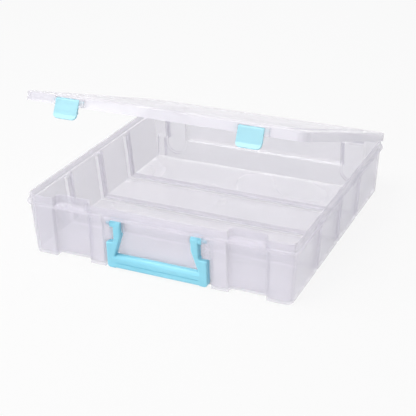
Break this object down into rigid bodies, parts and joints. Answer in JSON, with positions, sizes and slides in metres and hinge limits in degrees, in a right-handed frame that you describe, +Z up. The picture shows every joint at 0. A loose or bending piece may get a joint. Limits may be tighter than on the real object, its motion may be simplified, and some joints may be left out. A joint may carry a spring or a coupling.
{
  "type": "craft storage box",
  "caption": "Shallow square translucent carrying box with a hinged lid held ajar, snap latches on its front edge and a folding bail handle in a recess.",
  "frame": {"origin": "on the surface the box stands on, under the middle of its outline with the hinge ears counted in", "axes": "+Z up, +X along the front to the right of someone facing the handle, -Y out of the front where the handle and latches are, +Y towards the hinges"},
  "size_m": [0.387, 0.3733, 0.221],
  "materials": {
    "translucent_plastic": "frosted natural polypropylene, soft sheen",
    "pale_aqua_plastic": "moulded, soft gloss",
    "aqua_plastic": "moulded, soft gloss"
  },
  "bodies": {
    "tray": {"tray": "translucent_plastic"},
    "lid": {"lid": "translucent_plastic"},
    "latch_left": {"latch_left": "pale_aqua_plastic"},
    "latch_right": {"latch_right": "pale_aqua_plastic"},
    "handle": {"handle": "aqua_plastic"}
  },
  "joints": [
    {"name": "lid_hinge", "type": "hinge", "parent": "tray", "child": "lid", "pos_m": [0, 0.1814, 0.08], "axis": [-1, 0, 0], "range_deg": [-21, 89]},
    {"name": "latch_left_hinge", "type": "hinge", "parent": "lid", "child": "latch_left", "pos_m": [-0.1252, -0.16103, 0.21594], "axis": [-1, 0, 0], "range_deg": [-8.5, 95]},
    {"name": "latch_right_hinge", "type": "hinge", "parent": "lid", "child": "latch_right", "pos_m": [0.1252, -0.16103, 0.21594], "axis": [-1, 0, 0], "range_deg": [-8.5, 95]},
    {"name": "handle_hinge", "type": "hinge", "parent": "tray", "child": "handle", "pos_m": [0, -0.1801, 0.064], "axis": [-1, 0, 0], "range_deg": [0, 95]}
  ]
}
